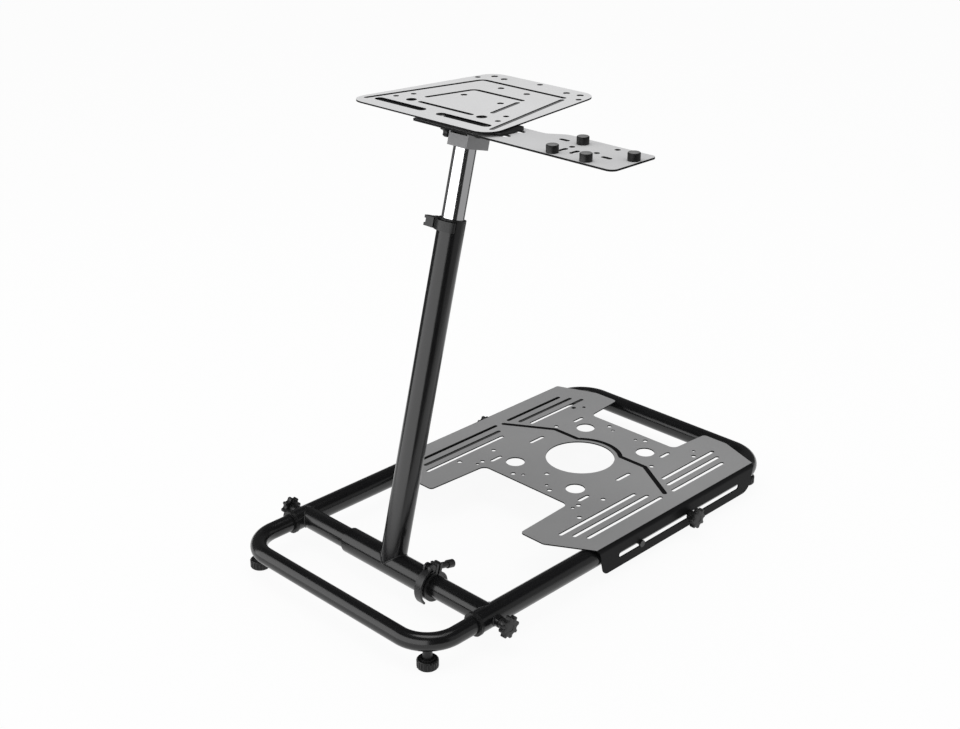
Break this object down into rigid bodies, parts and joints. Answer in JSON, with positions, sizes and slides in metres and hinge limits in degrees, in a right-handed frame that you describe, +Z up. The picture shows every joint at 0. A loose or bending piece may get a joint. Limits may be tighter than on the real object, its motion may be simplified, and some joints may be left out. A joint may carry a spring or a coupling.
{
  "type": "racing wheel stand",
  "caption": "Folding stand for a racing wheel, shifter and pedals: tube floor frame on feet, slotted pedal plate, leaning telescopic column with clamps, tilting top plate",
  "frame": {"origin": "middle of the footprint at floor level", "axes": "+X is the side of the shifter plate, the right hand of a seated driver; +Y points from the driver towards the pedals; +Z is up"},
  "size_m": [0.6728, 0.9298, 0.8213],
  "materials": {
    "black_paint": "gloss black paint",
    "wheel_plate_coat": "satin coat with black edges and underside",
    "shifter_plate_coat": "satin coat with black edges and underside",
    "pedal_plate_coat": "satin grey coat with black edges and underside",
    "chrome": "polished",
    "bare_steel": "satin zinc",
    "dark_steel": "blackened",
    "black_cast": "black coated casting",
    "black_plastic": "moulded black",
    "black_rubber": "matt black"
  },
  "bodies": {
    "base_frame": {"side_tube_left": "black_paint", "side_tube_right": "black_paint", "rear_bend_left": "black_paint", "rear_bend_right": "black_paint", "rear_tube": "black_paint", "crossbar": "black_paint", "end_collar_left": "black_plastic", "end_collar_right": "black_plastic", "rear_foot_left": "black_plastic", "rear_foot_right": "black_plastic", "lock_boss_left": "black_paint", "lock_boss_right": "black_paint", "guide_pin_left": "dark_steel", "guide_pin_right": "dark_steel"},
    "front_frame": {"front_tube": "black_paint", "front_bend_left": "black_paint", "front_bend_right": "black_paint", "front_leg_left": "black_paint", "front_leg_right": "black_paint", "front_foot_left": "black_plastic", "front_foot_right": "black_plastic"},
    "column": {"pivot_sleeve": "black_paint", "column_tube": "black_paint", "column_bushing": "black_plastic", "fold_clamp": "black_cast", "height_clamp": "black_cast", "fold_clamp_bolt": "dark_steel", "height_clamp_bolt": "dark_steel"},
    "fold_lever": {"fold_lever": "black_cast"},
    "height_lever": {"height_lever": "black_cast"},
    "inner_column": {"inner_tube": "chrome", "column_head": "bare_steel", "tilt_bolt": "dark_steel"},
    "wheel_deck": {"wheel_plate": "wheel_plate_coat", "tilt_bracket": "black_paint", "shifter_screws": "dark_steel"},
    "tilt_knob": {"tilt_knob": "black_plastic"},
    "shifter_deck": {"shifter_plate": "shifter_plate_coat", "rubber_posts": "black_rubber"},
    "pedal_deck": {"pedal_plate": "pedal_plate_coat"},
    "lock_knob_left": {"lock_knob_left": "black_plastic"},
    "lock_knob_right": {"lock_knob_right": "black_plastic"},
    "pedal_knob_left": {"pedal_knob_left": "black_plastic"},
    "pedal_knob_right": {"pedal_knob_right": "black_plastic"}
  },
  "joints": [
    {"name": "front_slide", "type": "slide", "parent": "base_frame", "child": "front_frame", "axis": [0, 1, 0], "range_m": [-0.1, 0.035]},
    {"name": "column_fold", "type": "hinge", "parent": "base_frame", "child": "column", "pos_m": [-0.0546, -0.31062, 0.0465], "axis": [-1, 0, 0], "range_deg": [0, 65]},
    {"name": "height_slide", "type": "slide", "parent": "column", "child": "inner_column", "axis": [0, 0.2511, 0.968], "range_m": [-0.1, 0.06]},
    {"name": "deck_tilt", "type": "hinge", "parent": "inner_column", "child": "wheel_deck", "pos_m": [-0.0546, -0.12283, 0.77054], "axis": [1, 0, 0], "range_deg": [-15, 20]},
    {"name": "shifter_slide", "type": "slide", "parent": "wheel_deck", "child": "shifter_deck", "axis": [1, 0, 0], "range_m": [-0.035, 0.02]},
    {"name": "pedal_slide", "type": "slide", "parent": "base_frame", "child": "pedal_deck", "axis": [0, 1, 0], "range_m": [-0.14, 0.05]},
    {"name": "fold_lever_turn", "type": "hinge", "parent": "column", "child": "fold_lever", "pos_m": [0.0334, -0.31734, 0.08233], "axis": [-1, 0, 0], "range_deg": [0, 120]},
    {"name": "height_lever_turn", "type": "hinge", "parent": "column", "child": "height_lever", "pos_m": [-0.0916, -0.177, 0.62343], "axis": [0, -0.2511, -0.968], "range_deg": [0, 120]},
    {"name": "tilt_knob_turn", "type": "hinge", "parent": "inner_column", "child": "tilt_knob", "pos_m": [-0.0546, -0.12283, 0.77054], "axis": [-1, 0, 0], "continuous": true},
    {"name": "lock_knob_left_turn", "type": "hinge", "parent": "base_frame", "child": "lock_knob_left", "pos_m": [-0.2871, -0.31062, 0.0465], "axis": [-1, 0, 0], "continuous": true},
    {"name": "pedal_knob_left_turn", "type": "hinge", "parent": "base_frame", "child": "pedal_knob_left", "pos_m": [-0.2871, 0.19237, 0.0385], "axis": [-1, 0, 0], "continuous": true},
    {"name": "lock_knob_right_turn", "type": "hinge", "parent": "base_frame", "child": "lock_knob_right", "pos_m": [0.1779, -0.31062, 0.0465], "axis": [1, 0, 0], "continuous": true},
    {"name": "pedal_knob_right_turn", "type": "hinge", "parent": "base_frame", "child": "pedal_knob_right", "pos_m": [0.1779, 0.19237, 0.0385], "axis": [1, 0, 0], "continuous": true}
  ]
}
